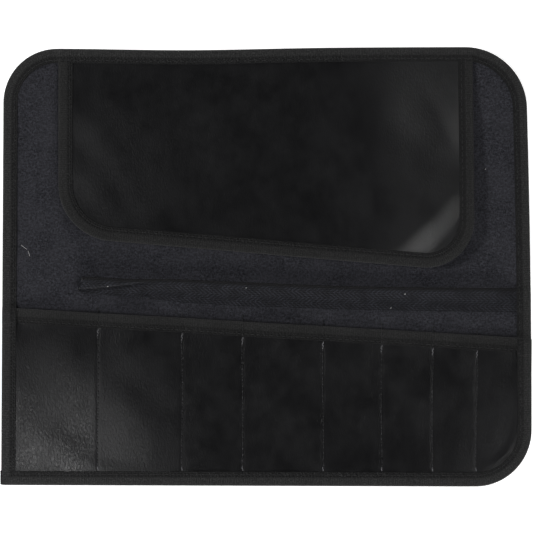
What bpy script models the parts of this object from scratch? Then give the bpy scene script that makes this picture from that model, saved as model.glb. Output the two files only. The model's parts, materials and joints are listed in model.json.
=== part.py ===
"""Brush roll case, lying open and flat on its back.

Metres. +X runs across the case, +Y from the pockets to the flap, +Z up out of the lining.
The origin is at the bottom centre of the open case.

The case folds along its seven pocket seams, so it is eight columns, numbered from the left.
Column 8, at the right, is the root. Column 7 hinges on it, and so on to column 1, the free end.
Every layer is a separate solid in each column: cover, lining, pocket panel, edge binding,
flap panel and tie tape. The flap hinges at the top binding and the tie at the right binding.
"""

import math

import bmesh
import bpy

# Driving dimensions
PART_NAME = "brush_roll_case"
GAP = 0.0003                    # between two pieces that touch
HALF_WIDTH = 0.1902             # at the bottom edge
HALF_HEIGHT = 0.1576            # at the right side
TOP_LEFT_IN = 0.0018            # how far the sides lean in towards the top
TOP_RIGHT_IN = 0.0044
LEFT_SHORT = 0.0012             # how much shorter the left side is, at each end
RADIUS_TOP_LEFT = 0.039
RADIUS_TOP_RIGHT = 0.044
RADIUS_BOTTOM_RIGHT = 0.040
RADIUS_SQUARE = 0.0015          # the bottom left corner, where the tape's ends meet

SEAMS_X = (-0.1206, -0.0605, -0.0172, 0.0404, 0.0823, 0.1187, 0.1499)
COLUMNS = len(SEAMS_X) + 1
FOLD_Z = 0.0062                 # the fold axes, just above the stack

BINDING_WIDTH = 0.0103          # of each leg of the folded edge tape
BINDING_WALL = 0.0006
BINDING_TOP = 0.0055
LAYER_INSET = 0.0012            # from the outline to the layers inside the tape's fold
COVER_BORDER_LOW, COVER_TOP = 0.0009, 0.0019
COVER_MIDDLE_TOP = 0.00145      # of the thicker part inside the tape, buried in the border
LINING_LOW, LINING_TOP = 0.0022, 0.0034

POCKET_LOW = 0.0037             # underside of a pocket panel where it is sewn down
POCKET_WALL = 0.0009
POCKET_RISE = 0.0043            # how far the open mouth stands up
POCKET_EDGE_LEFT, POCKET_EDGE_RIGHT = -0.0306, -0.0513   # y of the slanted top edge
SEWN_FLAT = 0.0014              # flat strip of a pocket panel beside each seam
POCKET_RIGHT_IN = 0.0022        # how far the right side leans in beside the last pocket
ARCH_POINTS = 14
POCKET_ARCH_SIDE = 0.009        # distance from a seam over which the arch climbs
POCKET_ARCH_DEPTH = 0.3         # share of the depth over which it climbs
RIM_WIDTH = 0.010
RIM_LOW, RIM_TOP = 0.0004, 0.0013                        # over the panel's underside
RIM_OVERHANG = 0.0004           # past the panel's edge
PANEL_SHARES = (0.0, 0.08, 0.16, 0.24, 0.32, 0.4, 0.7, 0.9, 1.0)   # rows of points, foot to edge
RIM_SHARES = (0.0, 0.5, 1.0)

FLAP_LEFT, FLAP_RIGHT = -0.1488, 0.1474
FLAP_TOP = 0.1455
FLAP_HINGE_Y, FLAP_HINGE_Z = 0.1457, 0.00535
FLAP_BOTTOM_LEFT, FLAP_BOTTOM_RIGHT = 0.0236, -0.0033
FLAP_RADIUS_LEFT, FLAP_RADIUS_RIGHT = 0.040, 0.032
FLAP_LOW, FLAP_HIGH = 0.0037, 0.0049
FLAP_SIDE_CLEARANCE = 0.0020    # open flap panels must pass each other in the rolled case

TIE_HINGE_X, TIE_HINGE_Z = 0.1778, 0.0052
TIE_LOW, TIE_HIGH = 0.0037, 0.0045
# Centre line and width of the tie along its length, from its sewn end to its free end
TIE_STATIONS = (
    (0.1776, -0.0238, 0.0172),
    (0.0526, -0.0220, 0.0166),
    (-0.0190, -0.0194, 0.0172),
    (-0.0600, -0.0172, 0.0160),
    (-0.0985, -0.0150, 0.0128),
    (-0.1335, -0.0128, 0.0126),
)

ARC_STEPS = 8
SMALLEST_RADIUS = 0.0005        # a corner below this is left square
SHARP_ANGLE = math.radians(30)
WELD_DISTANCE = 1e-6
EMPTY_SIZE = 0.01
FAR = 0.5                       # past the part on every side, for cutters


def new_collection(name):
    collection = bpy.data.collections.new(name)
    bpy.context.scene.collection.children.link(collection)
    return collection


def clear_scene():
    for obj in list(bpy.data.objects):
        bpy.data.objects.remove(obj, do_unlink=True)


def make_material(name, colour, roughness):
    material = bpy.data.materials.new(name)
    material.use_nodes = True
    shader = material.node_tree.nodes["Principled BSDF"]
    shader.inputs["Base Color"].default_value = (*colour, 1.0)
    shader.inputs["Roughness"].default_value = roughness
    shader.inputs["Metallic"].default_value = 0.0
    return material


# Outlines


def offset_corners(corners, inset):
    """A counter-clockwise polygon's corners, moved in by inset from every side."""
    moved = []
    count = len(corners)
    for i in range(count):
        before, here, after = corners[i - 1], corners[i], corners[(i + 1) % count]
        first = math.atan2(here[1] - before[1], here[0] - before[0])
        second = math.atan2(after[1] - here[1], after[0] - here[0])
        turn = second - first
        reach = inset / math.cos(turn / 2)
        inward = first + turn / 2 + math.pi / 2
        moved.append((here[0] + reach * math.cos(inward), here[1] + reach * math.sin(inward)))
    return moved


def rounded(corners, radii, inset=0.0):
    """Points of the polygon with rounded corners, offset inwards by inset."""
    points = []
    moved = offset_corners(corners, inset)
    count = len(moved)
    for i in range(count):
        before, here, after = moved[i - 1], moved[i], moved[(i + 1) % count]
        radius = radii[i] - inset
        if radius < SMALLEST_RADIUS:
            points.append(here)
            continue
        first = math.atan2(here[1] - before[1], here[0] - before[0])
        second = math.atan2(after[1] - here[1], after[0] - here[0])
        turn = (second - first) % (2 * math.pi)
        back = radius * math.tan(turn / 2)
        start = (here[0] - back * math.cos(first), here[1] - back * math.sin(first))
        centre = (start[0] - radius * math.sin(first), start[1] + radius * math.cos(first))
        for step in range(ARC_STEPS + 1):
            angle = first - math.pi / 2 + turn * step / ARC_STEPS
            points.append((centre[0] + radius * math.cos(angle), centre[1] + radius * math.sin(angle)))
    return points


def case_outline(inset=0.0):
    corners = (
        (-HALF_WIDTH, -HALF_HEIGHT + LEFT_SHORT),
        (HALF_WIDTH, -HALF_HEIGHT),
        (HALF_WIDTH - TOP_RIGHT_IN, HALF_HEIGHT),
        (-HALF_WIDTH + TOP_LEFT_IN, HALF_HEIGHT - LEFT_SHORT),
    )
    radii = (RADIUS_SQUARE, RADIUS_BOTTOM_RIGHT, RADIUS_TOP_RIGHT, RADIUS_TOP_LEFT)
    return rounded(corners, radii, inset)


def flap_outline():
    corners = (
        (FLAP_LEFT, FLAP_BOTTOM_LEFT),
        (FLAP_RIGHT, FLAP_BOTTOM_RIGHT),
        (FLAP_RIGHT, FLAP_TOP),
        (FLAP_LEFT, FLAP_TOP),
    )
    return rounded(corners, (FLAP_RADIUS_LEFT, FLAP_RADIUS_RIGHT, 0.0, 0.0))


def tie_outline():
    upper = [(x, y + width / 2) for x, y, width in TIE_STATIONS]
    lower = [(x, y - width / 2) for x, y, width in TIE_STATIONS]
    return upper + lower[::-1]


# Solids


def plate(name, outline, low, high, collection):
    """A flat solid: a filled 2D curve with an extrusion, made a mesh with its caps welded."""
    curve = bpy.data.curves.new(name, "CURVE")
    curve.dimensions = "2D"
    curve.fill_mode = "BOTH"
    curve.extrude = (high - low) / 2
    spline = curve.splines.new("POLY")
    spline.points.add(len(outline) - 1)
    for point, (x, y) in zip(spline.points, outline):
        point.co = (x, y, 0.0, 1.0)
    spline.use_cyclic_u = True
    drawn = bpy.data.objects.new(name + "_outline", curve)
    drawn.location.z = (low + high) / 2
    collection.objects.link(drawn)
    bpy.context.view_layer.update()
    graph = bpy.context.evaluated_depsgraph_get()
    mesh = bpy.data.meshes.new_from_object(drawn.evaluated_get(graph))
    mesh.transform(drawn.matrix_world)
    bpy.data.objects.remove(drawn, do_unlink=True)
    shape = bmesh.new()
    shape.from_mesh(mesh)
    bmesh.ops.remove_doubles(shape, verts=shape.verts, dist=WELD_DISTANCE)
    bmesh.ops.recalc_face_normals(shape, faces=shape.faces)
    shape.to_mesh(mesh)
    shape.free()
    obj = bpy.data.objects.new(name, mesh)
    collection.objects.link(obj)
    return obj


def box(name, low, high, collection):
    mesh = bpy.data.meshes.new(name)
    shape = bmesh.new()
    bmesh.ops.create_cube(shape, size=1.0)
    for vert in shape.verts:
        for axis in range(3):
            vert.co[axis] = low[axis] if vert.co[axis] < 0 else high[axis]
    shape.to_mesh(mesh)
    shape.free()
    obj = bpy.data.objects.new(name, mesh)
    collection.objects.link(obj)
    return obj


def hide_cutter(obj):
    obj.hide_render = True
    obj.display_type = "WIRE"
    return obj


def boolean(obj, operation, cutter):
    modifier = obj.modifiers.new(operation.lower() + "_" + cutter.name, "BOOLEAN")
    modifier.operation = operation
    modifier.solver = "EXACT"
    modifier.object = cutter


def copy_of(template, name, collection):
    """A new object on a copy of the template's evaluated mesh."""
    bpy.context.view_layer.update()
    graph = bpy.context.evaluated_depsgraph_get()
    mesh = bpy.data.meshes.new_from_object(template.evaluated_get(graph))
    mesh.name = name
    obj = bpy.data.objects.new(name, mesh)
    collection.objects.link(obj)
    return obj


def column_span(column):
    """The x of the column's two sides; the end columns run past the outline."""
    left = -FAR if column == 1 else SEAMS_X[column - 2] + GAP / 2
    right = FAR if column == COLUMNS else SEAMS_X[column - 1] - GAP / 2
    return left, right


def cut_to(obj, cutter):
    boolean(obj, "INTERSECT", cutter)


def smooth_step(edge_low, edge_high, value):
    share = min(1.0, max(0.0, (value - edge_low) / (edge_high - edge_low)))
    return share * share * (3 - 2 * share)


def pocket_edge_y(x):
    share = (x + HALF_WIDTH) / (2 * HALF_WIDTH)
    return POCKET_EDGE_LEFT + (POCKET_EDGE_RIGHT - POCKET_EDGE_LEFT) * share


def pocket_foot_y(x):
    return -HALF_HEIGHT + LEFT_SHORT + LAYER_INSET


def rim_foot_y(x):
    return pocket_edge_y(x) - RIM_WIDTH


def rim_edge_y(x):
    return pocket_edge_y(x) + RIM_OVERHANG


def arch_height(x, y, sewn):
    """How far a pocket's panel stands up at a point, from its sewn sides to its open mouth."""
    left, right, bottom = sewn
    along = (y - bottom) / (pocket_edge_y(x) - bottom)
    climb = smooth_step(0.0, POCKET_ARCH_SIDE, min(x - left, right - x))
    return POCKET_RISE * climb * smooth_step(0.0, POCKET_ARCH_DEPTH, along)


def arched_sheet(name, xs, shares, low_at, bottom_at, top_at, sewn, thickness, collection):
    """A sheet over the points xs, between two edges, lifted by the pocket's arch, with thickness."""
    mesh = bpy.data.meshes.new(name)
    shape = bmesh.new()
    bmesh.ops.create_grid(shape, x_segments=len(xs) - 1, y_segments=len(shares) - 1, size=0.5)
    for vert in shape.verts:
        x = xs[round((vert.co.x + 0.5) * (len(xs) - 1))]
        share = shares[round((vert.co.y + 0.5) * (len(shares) - 1))]
        y = bottom_at(x) + (top_at(x) - bottom_at(x)) * share
        lift = arch_height(x, y, sewn)
        vert.co = (x, y, low_at + lift)
    shape.to_mesh(mesh)
    shape.free()
    obj = bpy.data.objects.new(name, mesh)
    collection.objects.link(obj)
    solidify = obj.modifiers.new("thickness", "SOLIDIFY")
    solidify.thickness = thickness
    solidify.offset = 1.0
    return obj


# Pieces


def make_empty(name, location, parent=None):
    empty = bpy.data.objects.new(name, None)
    empty.empty_display_size = EMPTY_SIZE
    empty.matrix_world.translation = location
    parts.objects.link(empty)
    if parent:
        attach(empty, parent)
    return empty


def attach(child, parent):
    """Parents without moving the child."""
    bpy.context.view_layer.update()
    world = child.matrix_world.copy()
    child.parent = parent
    child.matrix_parent_inverse = parent.matrix_world.inverted()
    child.matrix_world = world


def finish(obj, material, parent):
    obj.data.materials.clear()
    obj.data.materials.append(material)
    attach(obj, parent)


def make_slabs(name, low_y, high_y):
    """One cutter for each column, between two y values."""
    slabs = {}
    for column in range(1, COLUMNS + 1):
        left, right = column_span(column)
        slab = box(f"{name}_{column}", (left, low_y, -FAR), (right, high_y, FAR), cutters)
        slabs[column] = hide_cutter(slab)
    return slabs


def make_cover_template():
    border = plate("cover_border", case_outline(LAYER_INSET), COVER_BORDER_LOW, COVER_TOP, cutters)
    middle_outline = case_outline(BINDING_WIDTH + GAP)
    middle = plate("cover_middle", middle_outline, 0.0, COVER_MIDDLE_TOP, cutters)
    boolean(border, "UNION", hide_cutter(middle))
    return hide_cutter(border)


def make_binding_template():
    tape = plate("binding_outer", case_outline(), 0.0, BINDING_TOP, cutters)
    slot_high = BINDING_TOP - BINDING_WALL
    slot = plate("binding_slot", case_outline(BINDING_WALL), BINDING_WALL, slot_high, cutters)
    opening = plate("binding_opening", case_outline(BINDING_WIDTH), -FAR, FAR, cutters)
    boolean(tape, "DIFFERENCE", hide_cutter(slot))
    boolean(tape, "DIFFERENCE", hide_cutter(opening))
    return hide_cutter(tape)


def make_layers(columns):
    cover = make_cover_template()
    lining_outline = case_outline(LAYER_INSET)
    lining = hide_cutter(plate("lining_layer", lining_outline, LINING_LOW, LINING_TOP, cutters))
    for column, parent in columns.items():
        for name, template, material in (("cover", cover, leather), ("lining", lining, felt)):
            piece = copy_of(template, f"{name}_{column}", parts)
            cut_to(piece, whole_slabs[column])
            finish(piece, material, parent)


def make_bindings(columns):
    tape = make_binding_template()
    corner_y = -HALF_HEIGHT + LEFT_SHORT + BINDING_WIDTH
    left_side = hide_cutter(
        box("left_side", (-FAR, corner_y + GAP, -FAR), (column_span(1)[1], FAR, FAR), cutters)
    )
    left_corner = hide_cutter(
        box("left_corner", (-FAR, -FAR, -FAR), (column_span(1)[1], corner_y, FAR), cutters)
    )
    wanted = [("binding_left", 1, left_side), ("bottom_binding_1", 1, left_corner)]
    for column in range(2, COLUMNS):
        wanted.append((f"top_binding_{column}", column, top_slabs[column]))
        wanted.append((f"bottom_binding_{column}", column, bottom_slabs[column]))
    wanted.append(("binding_right", COLUMNS, whole_slabs[COLUMNS]))
    for name, column, cutter in wanted:
        piece = copy_of(tape, name, parts)
        cut_to(piece, cutter)
        finish(piece, tape_black, columns[column])


def pocket_grid(column):
    """The x of the pocket's panel points, then the x of its arch's two sides and the y of its foot."""
    left, right = column_span(column)
    binding_inner = HALF_WIDTH - BINDING_WIDTH
    arch_left = left + SEWN_FLAT
    arch_right = right - SEWN_FLAT
    if column == 1:
        left, arch_left = -HALF_WIDTH, -binding_inner + SEWN_FLAT
    if column == COLUMNS:
        arch_right, right = binding_inner - POCKET_RIGHT_IN - SEWN_FLAT, HALF_WIDTH
    xs = [left]
    xs += [arch_left + (arch_right - arch_left) * i / ARCH_POINTS for i in range(ARCH_POINTS + 1)]
    xs += [right]
    foot = RADIUS_BOTTOM_RIGHT if column == COLUMNS else BINDING_WIDTH
    return xs, (arch_left, arch_right, foot - HALF_HEIGHT)


def make_pockets(columns):
    inside = hide_cutter(plate("inside_binding", case_outline(LAYER_INSET), 0.0, FAR, cutters))
    for column, parent in columns.items():
        xs, sewn = pocket_grid(column)
        name = f"pocket_{column}"
        panel = arched_sheet(
            name, xs, PANEL_SHARES, POCKET_LOW, pocket_foot_y, pocket_edge_y, sewn, POCKET_WALL, parts
        )
        rim_low = POCKET_LOW + RIM_LOW
        rim_wall = RIM_TOP - RIM_LOW
        rim = arched_sheet(
            f"rim_{column}", xs[1:-1], RIM_SHARES, rim_low, rim_foot_y, rim_edge_y, sewn, rim_wall, cutters
        )
        boolean(panel, "UNION", hide_cutter(rim))
        if column in (1, COLUMNS):
            cut_to(panel, inside)
        finish(panel, leather, parent)


def make_flap(columns):
    flap = hide_cutter(plate("flap_layer", flap_outline(), FLAP_LOW, FLAP_HIGH, cutters))
    for column in range(1, COLUMNS):
        left, right = column_span(column)
        low = (left + FLAP_SIDE_CLEARANCE, -FAR, -FAR)
        high = (right - FLAP_SIDE_CLEARANCE, FAR, FAR)
        slab = hide_cutter(box(f"flap_slab_{column}", low, high, cutters))
        middle = (max(left, FLAP_LEFT) + min(right, FLAP_RIGHT)) / 2
        hinge = make_empty(f"flap_hinge_{column}", (middle, FLAP_HINGE_Y, FLAP_HINGE_Z), columns[column])
        panel = copy_of(flap, f"flap_{column}", parts)
        cut_to(panel, slab)
        finish(panel, leather, hinge)


def make_tie(root):
    tape = hide_cutter(plate("tie_layer", tie_outline(), TIE_LOW, TIE_HIGH, cutters))
    parent = make_empty("tie_hinge_8", (TIE_HINGE_X, TIE_STATIONS[0][1], TIE_HINGE_Z), root)
    for column in range(COLUMNS, 0, -1):
        if column < COLUMNS:
            place = (SEAMS_X[column - 1], TIE_STATIONS[0][1], FOLD_Z)
            parent = make_empty(f"tie_hinge_{column}", place, parent)
        piece = copy_of(tape, f"tie_{column}", parts)
        cut_to(piece, whole_slabs[column])
        finish(piece, twill, parent)


def make_columns():
    """An empty on each fold axis, each a child of the next column to the right."""
    columns = {COLUMNS: make_empty(f"column_{COLUMNS}", (0.0, 0.0, 0.0))}
    for column in range(COLUMNS - 1, 0, -1):
        place = (SEAMS_X[column - 1], 0.0, FOLD_Z)
        columns[column] = make_empty(f"column_{column}", place, columns[column + 1])
    return columns


clear_scene()
parts = new_collection(PART_NAME)
cutters = new_collection("cutters")
leather = make_material("black_leather", (0.011, 0.011, 0.013), 0.42)
felt = make_material("charcoal_lining", (0.025, 0.026, 0.031), 0.95)
tape_black = make_material("black_binding_tape", (0.022, 0.022, 0.022), 0.8)
twill = make_material("twill_tie", (0.017, 0.018, 0.023), 0.9)
whole_slabs = make_slabs("slab", -FAR, FAR)
top_slabs = make_slabs("top_slab", 0.0, FAR)
bottom_slabs = make_slabs("bottom_slab", -FAR, 0.0)
column_frames = make_columns()
make_layers(column_frames)
make_bindings(column_frames)
make_pockets(column_frames)
make_flap(column_frames)
make_tie(column_frames[COLUMNS])
for piece in parts.objects:
    if piece.type == "MESH":
        piece.data.set_sharp_from_angle(angle=SHARP_ANGLE)
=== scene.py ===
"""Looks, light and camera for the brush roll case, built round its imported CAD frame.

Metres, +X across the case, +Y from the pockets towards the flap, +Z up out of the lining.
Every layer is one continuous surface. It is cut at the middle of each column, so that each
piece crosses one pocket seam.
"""

import json
import math

import bpy
import numpy as np
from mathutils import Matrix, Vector


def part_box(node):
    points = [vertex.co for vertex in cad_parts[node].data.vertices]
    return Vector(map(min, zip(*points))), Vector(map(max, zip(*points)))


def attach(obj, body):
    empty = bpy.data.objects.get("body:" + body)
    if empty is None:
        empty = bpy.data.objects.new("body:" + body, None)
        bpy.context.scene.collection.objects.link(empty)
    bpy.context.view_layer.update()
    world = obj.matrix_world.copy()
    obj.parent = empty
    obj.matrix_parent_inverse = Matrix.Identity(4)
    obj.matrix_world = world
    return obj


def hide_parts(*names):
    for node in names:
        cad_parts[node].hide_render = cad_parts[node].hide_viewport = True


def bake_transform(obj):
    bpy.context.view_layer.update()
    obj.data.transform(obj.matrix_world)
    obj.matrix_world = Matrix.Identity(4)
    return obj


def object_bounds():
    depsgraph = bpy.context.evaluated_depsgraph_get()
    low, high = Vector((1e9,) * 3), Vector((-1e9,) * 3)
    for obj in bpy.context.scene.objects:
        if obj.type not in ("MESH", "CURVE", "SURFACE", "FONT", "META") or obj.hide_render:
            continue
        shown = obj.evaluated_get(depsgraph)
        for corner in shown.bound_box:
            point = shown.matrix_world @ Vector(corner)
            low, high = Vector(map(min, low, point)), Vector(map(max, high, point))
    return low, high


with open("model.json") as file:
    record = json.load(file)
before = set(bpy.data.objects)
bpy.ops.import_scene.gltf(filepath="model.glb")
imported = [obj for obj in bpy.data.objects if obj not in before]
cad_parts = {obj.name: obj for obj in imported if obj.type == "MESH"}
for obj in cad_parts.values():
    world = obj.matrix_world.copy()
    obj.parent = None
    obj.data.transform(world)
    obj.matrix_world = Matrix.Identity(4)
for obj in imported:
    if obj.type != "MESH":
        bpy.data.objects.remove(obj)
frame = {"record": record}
CAD_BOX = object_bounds()

# The frame: its joints give the fold lines, its nodes the edges of the case

JOINTS = {joint["name"]: joint for joint in frame["record"]["behaviour"]["joints"]}
FOLDS = [f"case_fold_{i + 1}" for i in range(6)] + ["case_roll"]
SEAMS = [JOINTS[name]["pos_m"][0] for name in FOLDS]
FOLD_Z = JOINTS["case_roll"]["pos_m"][2]
FLAP_HINGE_Y = JOINTS["flap_lift"]["pos_m"][1]
TIE_HINGE_X = JOINTS["tie_swing"]["pos_m"][0]
COLUMNS = len(SEAMS) + 1
HALF_WIDTH = max(abs(CAD_BOX[0][0]), abs(CAD_BOX[1][0])) - 0.0002
HALF_HEIGHT = max(abs(CAD_BOX[0][1]), abs(CAD_BOX[1][1]))
FLAP_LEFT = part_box("flap_1")[0][0]
FLAP_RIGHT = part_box("flap_7")[1][0]
EDGES = [-HALF_WIDTH] + SEAMS + [HALF_WIDTH]
MIDS = [(EDGES[i] + EDGES[i + 1]) / 2 for i in range(COLUMNS)]

# Outline of the case
TOP_LEFT_IN = 0.0018            # how far the top corners stand in from the bottom ones
TOP_RIGHT_IN = 0.0044
LEFT_SHORT = 0.0012             # how much shorter the left side is at each end
CORNERS = (
    (-HALF_WIDTH, -HALF_HEIGHT + LEFT_SHORT),
    (HALF_WIDTH, -HALF_HEIGHT),
    (HALF_WIDTH - TOP_RIGHT_IN, HALF_HEIGHT),
    (-HALF_WIDTH + TOP_LEFT_IN, HALF_HEIGHT - LEFT_SHORT),
)
RADII = (0.0012, 0.040, 0.044, 0.039)
CORNER_STEPS = 28               # of each rounded corner

# Heights of the layers at rest
COVER_MIDDLE = 0.00015          # underside of the cover inside the tape
COVER_BORDER = 0.00075          # and where the tape's lower leg passes under it
COVER_TOP = 0.0018
LINING_TOP = 0.0032
LEATHER = 0.0009                # thickness of the pocket and flap leather
TAPE = 0.00042                  # thickness of the folded tape
TAPE_WIDTH = 0.0103             # of each leg
TAPE_FOLD = 0.0008              # how far the fold stands out past the layers
FLAP_TAPE_FOLD = 0.0006         # and past a single leather
LOW_LEG_SHORT = 0.0004          # how much narrower the hidden leg of a tape is
LAYER_IN = 0.0013               # from the outline to the raw edges of the layers
CLEAR = 0.00012                 # gap between layers that lie on each other

POCKET_EDGE = (
    (-0.1902, -0.0297), (-0.1793, -0.0302), (-0.1213, -0.0338), (-0.0555, -0.0374),
    (-0.0097, -0.0403), (0.0526, -0.0437), (0.1150, -0.0474), (0.1785, -0.0513), (0.1902, -0.0520),
)
# Straight line through the pockets' mouths, for the painted shade in the felt beside them
MOUTH_SLOPE, MOUTH_MIDDLE = np.polyfit(*np.array(POCKET_EDGE).T, 1).tolist()
POCKET_TAPE_WIDTH = 0.0098
POCKET_STITCH_IN = 0.0080
ARCH_TALLEST = 0.0018           # of a pocket's mouth over the lining
ARCH_SHARE = 0.034              # of its width, in a narrow pocket
FLAP_BOTTOM_LEFT = 0.0222
FLAP_BOTTOM_RIGHT = -0.0028
FLAP_RADIUS_LEFT = 0.040
FLAP_RADIUS_RIGHT = 0.033
FLAP_SAG = 0.0019
FLAP_TAPE_WIDTH = 0.0104
FLAP_STITCH_IN = 0.0076
FLAP_SECOND_IN = 0.0044         # second row, on the right side only
FLAP_SECOND_FROM = 0.128
FLAP_GAP = 0.00018              # under the flap at its sewn edge
FLAP_LOFT = 0.0014              # further away from it
FLAP_LOWER_RISE = 0.0022        # towards the lower edge
FLAP_RIGHT_RISE = 0.0032        # towards the right edge
FLAP_WAVE = 0.00030
FLAP_FOLD = 0.00034
FLAP_CORNER_DIP = 0.0019        # where the lower right corner curls down again
FLAP_UPPER_DIP = 0.0016         # and the upper right one
STITCH_PITCH = 0.0045
DIVIDER_PITCH = 0.0041
STITCH_LENGTH = 0.0033
STITCH_RADIUS = 0.00021
STITCH_IN = 0.0083              # from the outer edge of a tape to its row of stitches

TIE_ACROSS = 0.0172             # across the tape
TIE_HALF_THICK = 0.00032
TIE_END = -0.1338
TIE_SEWN = 0.1838
# Centre line and width of the tie along its length, from its sewn end to its free end
TIE_STATIONS = (
    (0.1850, -0.0238, 0.0172), (0.1150, -0.0232, 0.0168), (0.0526, -0.0220, 0.0166),
    (-0.0190, -0.0194, 0.0172), (-0.0600, -0.0172, 0.0166), (-0.0985, -0.0150, 0.0128),
    (-0.1335, -0.0128, 0.0122),
)


def smooth(t):
    t = np.clip(t, 0.0, 1.0)
    return t * t * (3 - 2 * t)


class Waves:
    """A soft random surface of about unit height: plane waves with seeded directions."""

    def __init__(self, seed, shortest, longest, count=16):
        rng = np.random.default_rng(seed)
        length = np.exp(rng.uniform(math.log(shortest), math.log(longest), count))
        angle = rng.uniform(0, 2 * math.pi, count)
        self.kx = 2 * math.pi / length * np.cos(angle)
        self.ky = 2 * math.pi / length * np.sin(angle)
        self.phase = rng.uniform(0, 2 * math.pi, count)
        self.weight = length / math.sqrt(np.sum(length ** 2) / 2)

    def __call__(self, x, y):
        x, y = np.asarray(x)[..., None], np.asarray(y)[..., None]
        return (self.weight * np.sin(self.kx * x + self.ky * y + self.phase)).sum(-1)


def add_object(name, data, place=(0.0, 0.0, 0.0)):
    obj = bpy.data.objects.new(name, data)
    obj.location = place
    bpy.context.scene.collection.objects.link(obj)
    return obj


# Camera

CAMERA_HEIGHT = 1.6
FIELD_WIDTH = 0.3814            # of the view at the lining
SENSOR = 36.0

camera_data = bpy.data.cameras.new("camera")
camera_data.sensor_width = SENSOR
camera_data.lens = SENSOR * (CAMERA_HEIGHT - LINING_TOP) / FIELD_WIDTH
bpy.context.scene.camera = add_object("camera", camera_data, (0.0, 0.0002, CAMERA_HEIGHT))
bpy.context.scene.view_settings.view_transform = "Standard"


# Materials

NEEDLE_ROWS = (0.0021, 0.0040)  # across a tape from its inner edge
NEEDLE_PITCH = 0.0024
# Light and dark of a tape's weave, and the pale colour of the painted highlight along its fold
TAPE_COLOURS = ((0.0360, 0.0360, 0.0357), (0.0050, 0.0051, 0.0053), (0.056, 0.056, 0.056))


class Graph:
    """A node material under construction. Sockets take plain values or other nodes' outputs."""

    def __init__(self, name):
        self.material = bpy.data.materials.new(name)
        self.material.use_nodes = True
        self.tree = self.material.node_tree
        self.shader = self.tree.nodes["Principled BSDF"]

    def put(self, socket, value):
        if isinstance(value, bpy.types.NodeSocket):
            self.tree.links.new(value, socket)
        else:
            socket.default_value = value

    def node(self, kind, inputs, output=0, **settings):
        node = self.tree.nodes.new(kind)
        for key, value in settings.items():
            setattr(node, key, value)
        for key, value in inputs.items():
            self.put(node.inputs[key], value)
        return node.outputs[output]

    def math(self, operation, a, b=0.0):
        return self.node("ShaderNodeMath", {0: a, 1: b}, operation=operation)

    def plus(self, a, b):
        return self.math("ADD", a, b)

    def minus(self, a, b):
        return self.math("SUBTRACT", a, b)

    def times(self, a, b):
        return self.math("MULTIPLY", a, b)

    def wave(self, value, period):
        return self.math("SINE", self.times(value, 2 * math.pi / period))

    def cloth(self, scale=(1.0, 1.0, 1.0), shift=None):
        """Place on the cloth in metres, along and across, stretched by scale and shifted by a vector."""
        place = self.node("ShaderNodeUVMap", {}, uv_map="cloth")
        place = self.node("ShaderNodeMapping", {"Vector": place, "Scale": scale})
        if shift is not None:
            place = self.node("ShaderNodeVectorMath", {0: place, 1: shift}, operation="ADD")
        return place

    def noise(self, place, scale, detail=2.0, output="Fac", rough=0.5):
        inputs = {"Vector": place, "Scale": scale, "Detail": detail, "Roughness": rough}
        return self.node("ShaderNodeTexNoise", inputs, output=output)

    def cells(self, place, scale, feature="F1", output="Distance", randomness=1.0):
        inputs = {"Vector": place, "Scale": scale, "Randomness": randomness}
        return self.node("ShaderNodeTexVoronoi", inputs, output=output, feature=feature)

    def wander(self, scale, reach, detail=2.0):
        """Small random shifts, so that a pattern is not too regular."""
        shift = self.noise(self.cloth(), scale, detail, output="Color")
        return self.node("ShaderNodeVectorMath", {0: shift, 1: reach}, operation="MULTIPLY")

    def remap(self, value, low, high, to_low=0.0, to_high=1.0):
        inputs = {"Value": value, "From Min": low, "From Max": high, "To Min": to_low, "To Max": to_high}
        return self.node("ShaderNodeMapRange", inputs, clamp=True)

    def mix(self, factor, a, b):
        """Colour a where factor is 0 and b where it is 1."""
        a, b = [(*colour, 1.0) if isinstance(colour, tuple) else colour for colour in (a, b)]
        return self.node("ShaderNodeMix", {0: factor, 6: a, 7: b}, output=2, data_type="RGBA")

    def across(self, place):
        return self.node("ShaderNodeSeparateXYZ", {0: place}, output="Y")

    def along(self, place):
        return self.node("ShaderNodeSeparateXYZ", {0: place}, output="X")

    def finish(self, colour, rough, height, strength, depth, **fixed):
        """Colour, roughness and bump height may vary. fixed holds plain values for the shader's sockets."""
        self.put(self.shader.inputs["Base Color"], colour)
        self.put(self.shader.inputs["Roughness"], rough)
        inputs = {"Height": height, "Strength": strength, "Distance": depth}
        self.put(self.shader.inputs["Normal"], self.node("ShaderNodeBump", inputs, output="Normal"))
        for key, value in fixed.items():
            self.shader.inputs[key.replace("_", " ")].default_value = value
        return self.material


def leather(name, grain, gloss_low, gloss_high):
    """Black imitation leather: a drawn-out pebble grain over soft unevenness, with faint cloudy wear."""
    g = Graph(name)
    wander = g.wander(420.0, (0.0007, 0.0007, 0.0007), detail=1.0)
    drawn_out = g.cloth((1.0, 0.5, 1.0), wander)
    pebble = g.cells(drawn_out, 960.0, feature="SMOOTH_F1")
    crease = g.remap(g.cells(drawn_out, 640.0, feature="DISTANCE_TO_EDGE"), 0.0, 0.14)
    fine = g.noise(g.cloth(), 1500.0)
    height = g.minus(g.times(fine, 0.45), pebble)
    height = g.plus(height, g.times(crease, 0.30))
    cloud = g.remap(g.noise(g.cloth(), 34.0, 3.0, rough=0.6), 0.38, 0.64)
    mottle = g.remap(g.noise(g.cloth((1.0, 0.6, 1.0)), 160.0, 3.0), 0.40, 0.66)
    colour = g.mix(cloud, (0.0064, 0.0064, 0.0070), (0.0100, 0.0101, 0.0108))
    colour = g.mix(g.times(mottle, 0.22), colour, (0.0135, 0.0136, 0.0143))
    rough = g.remap(g.plus(cloud, g.times(mottle, 0.5)), 0.0, 1.5, gloss_low, gloss_high)
    return g.finish(colour, rough, height, grain, 0.00034, IOR=1.5)


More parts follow.
